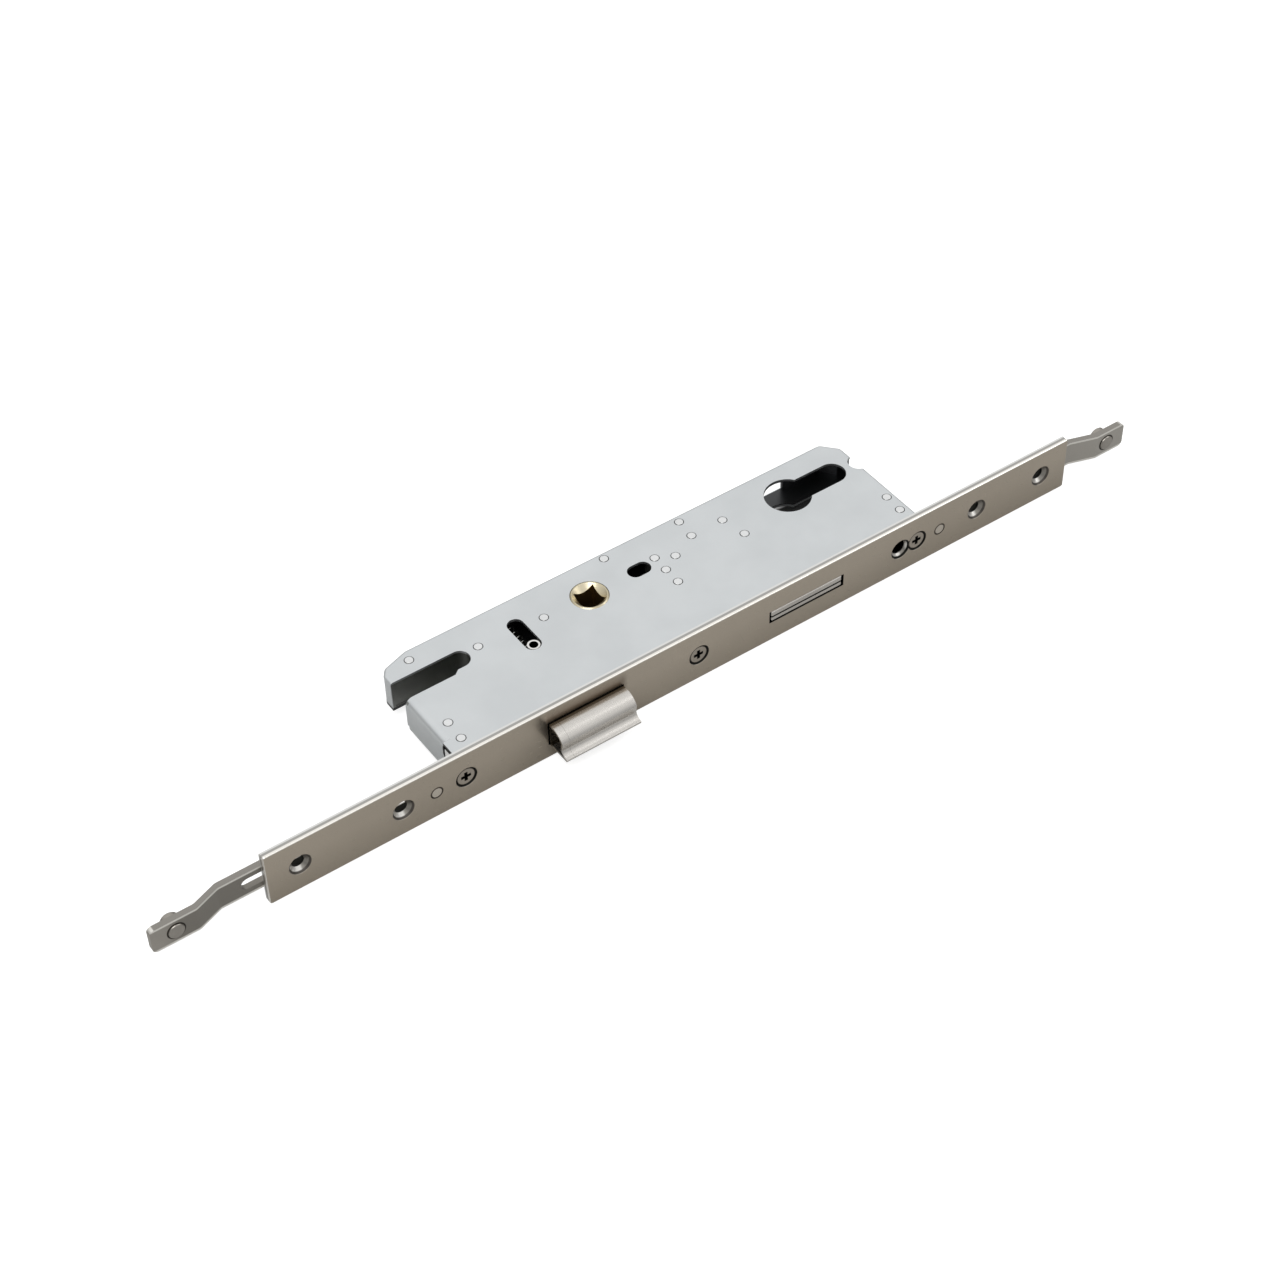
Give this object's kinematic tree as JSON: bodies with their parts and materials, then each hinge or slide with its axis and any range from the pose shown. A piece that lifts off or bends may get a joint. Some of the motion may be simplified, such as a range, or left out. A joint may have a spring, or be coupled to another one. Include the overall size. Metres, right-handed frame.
{
  "type": "multipoint door lock",
  "caption": "Mortice lock case on a long face plate, with a sprung latch, a deadbolt, a spindle follower and a sliding drive rail with joggled rod ends.",
  "frame": {"origin": "on the spindle's axis at the lock's mid thickness", "axes": "+X along the face plate towards the cylinder, +Y into the door away from the face plate's front, +Z across the door's thickness, out of the case's tray side"},
  "size_m": [0.398, 0.0653, 0.022],
  "materials": {
    "nickel": "satin",
    "zinc": "satin",
    "rail_steel": "satin",
    "bolt_steel": "satin",
    "brass": "satin",
    "cast_zinc": "matt",
    "dark_screw": "satin",
    "spring_wire": "satin"
  },
  "bodies": {
    "lock_case": {"faceplate": "nickel", "case_tray": "zinc", "case_cover": "zinc", "lug_left": "cast_zinc", "lug_middle": "cast_zinc", "lug_right": "cast_zinc", "case_screw_1": "dark_screw", "case_screw_2": "dark_screw", "case_screw_3": "dark_screw", "guide_stud_left": "bolt_steel", "guide_stud_right": "bolt_steel", "corner_post": "bolt_steel", "seat_rivet": "bolt_steel", "tail_post": "bolt_steel", "return_rivet": "bolt_steel", "stop_post": "bolt_steel", "guide_post_left": "bolt_steel", "guide_post_right": "bolt_steel", "arm_post": "bolt_steel", "middle_rivet_1": "bolt_steel", "middle_rivet_2": "bolt_steel", "middle_rivet_3": "bolt_steel", "middle_rivet_4": "bolt_steel", "right_rivet_1": "bolt_steel", "right_rivet_2": "bolt_steel", "left_rivet_1": "bolt_steel", "left_rivet_2": "bolt_steel", "latch_seat": "cast_zinc", "latch_spring": "spring_wire", "return_seat": "cast_zinc", "return_spring": "spring_wire"},
    "rail": {"drive_rail": "rail_steel", "drive_plate": "zinc", "drive_rivet_1": "bolt_steel", "drive_rivet_2": "bolt_steel", "rod_stud_left": "bolt_steel", "rod_stud_right": "bolt_steel"},
    "deadbolt": {"deadbolt_lower": "bolt_steel", "deadbolt_upper": "bolt_steel", "deadbolt_pin": "bolt_steel", "talon": "zinc", "deadbolt_rivet_1": "bolt_steel", "deadbolt_rivet_2": "bolt_steel", "deadbolt_rivet_3": "bolt_steel", "deadbolt_rivet_4": "bolt_steel"},
    "follower": {"follower": "brass"},
    "latch": {"latch_bolt": "bolt_steel", "latch_tail": "zinc", "latch_guide_pin": "bolt_steel", "latch_drive_pin": "bolt_steel", "latch_rivet_1": "bolt_steel", "latch_rivet_2": "bolt_steel"},
    "plunger": {"return_plunger": "brass"}
  },
  "joints": [
    {"name": "rail_slide", "type": "slide", "parent": "lock_case", "child": "rail", "axis": [1, 0, 0], "range_m": [0, 0.0136]},
    {"name": "deadbolt_slide", "type": "slide", "parent": "lock_case", "child": "deadbolt", "axis": [0, -1, 0], "range_m": [0, 0.017]},
    {"name": "handle_turn", "type": "hinge", "parent": "lock_case", "child": "follower", "pos_m": [0, 0, 0], "axis": [0, 0, -1], "range_deg": [0, 45], "stiffness_Nm_per_rad": 0.6, "springref_deg": -20.05},
    {"name": "latch_slide", "type": "slide", "parent": "lock_case", "child": "latch", "axis": [0, 1, 0], "range_m": [0, 0.01148], "stiffness_N_per_m": 250, "springref_m": -0.02, "deforming": ["latch_spring"]},
    {"name": "return_slide", "type": "slide", "parent": "lock_case", "child": "plunger", "axis": [1, 0, 0], "range_m": [0, 0.00735], "deforming": ["return_spring"]}
  ],
  "couplings": [
    {"joint": "deadbolt_slide", "follows": "rail_slide", "ratio": 1.25},
    {"joint": "handle_turn", "follows": "latch_slide", "rad_per_m": 68.411},
    {"joint": "return_slide", "follows": "latch_slide", "ratio": 0.64}
  ]
}
